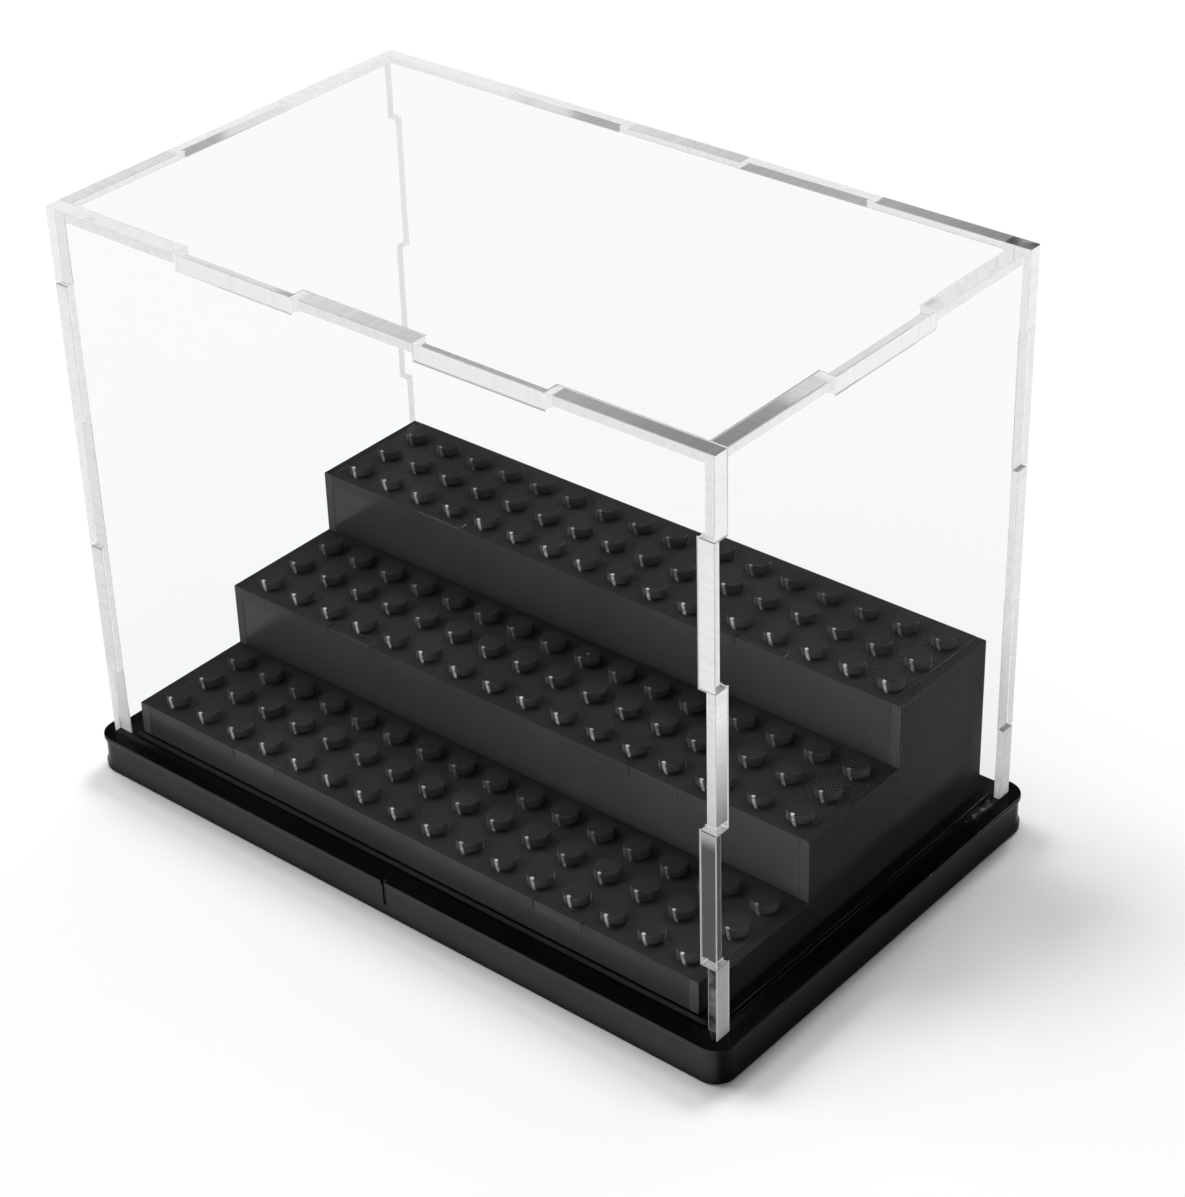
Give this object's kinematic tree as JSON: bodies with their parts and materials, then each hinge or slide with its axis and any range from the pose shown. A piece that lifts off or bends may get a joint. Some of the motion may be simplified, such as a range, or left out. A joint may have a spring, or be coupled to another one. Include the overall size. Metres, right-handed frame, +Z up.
{
  "type": "display case",
  "caption": "Small dust-proof display case: a clear finger-jointed cover lifts off a black base, over a stepped stand with studs for toy figures.",
  "frame": {"origin": "middle of the base's underside, where the case stands", "axes": "+X along the long side, to the right seen from the front; +Y from the low front tier to the back; +Z up"},
  "size_m": [0.1474, 0.0908, 0.1152],
  "materials": {
    "clear_acrylic": "clear polished sheet with saw-cut edges",
    "base_black": "satin black",
    "stair_black": "gloss black"
  },
  "bodies": {
    "base": {"base": "base_black"},
    "cover": {"cover_front": "clear_acrylic", "cover_back": "clear_acrylic", "cover_left": "clear_acrylic", "cover_right": "clear_acrylic", "cover_top": "clear_acrylic"},
    "stair": {"stair_left_cheek": "stair_black", "stair_right_cheek": "stair_black", "lower_riser": "stair_black", "middle_riser": "stair_black", "upper_riser": "stair_black", "lower_tread": "stair_black", "middle_tread": "stair_black", "upper_tread": "stair_black"}
  },
  "joints": [
    {"name": "cover_lift", "type": "slide", "parent": "base", "child": "cover", "axis": [0, 0, 1], "range_m": [0, 0.12]},
    {"name": "stair_lift", "type": "slide", "parent": "base", "child": "stair", "axis": [0, 0, 1], "range_m": [0, 0.06]}
  ]
}
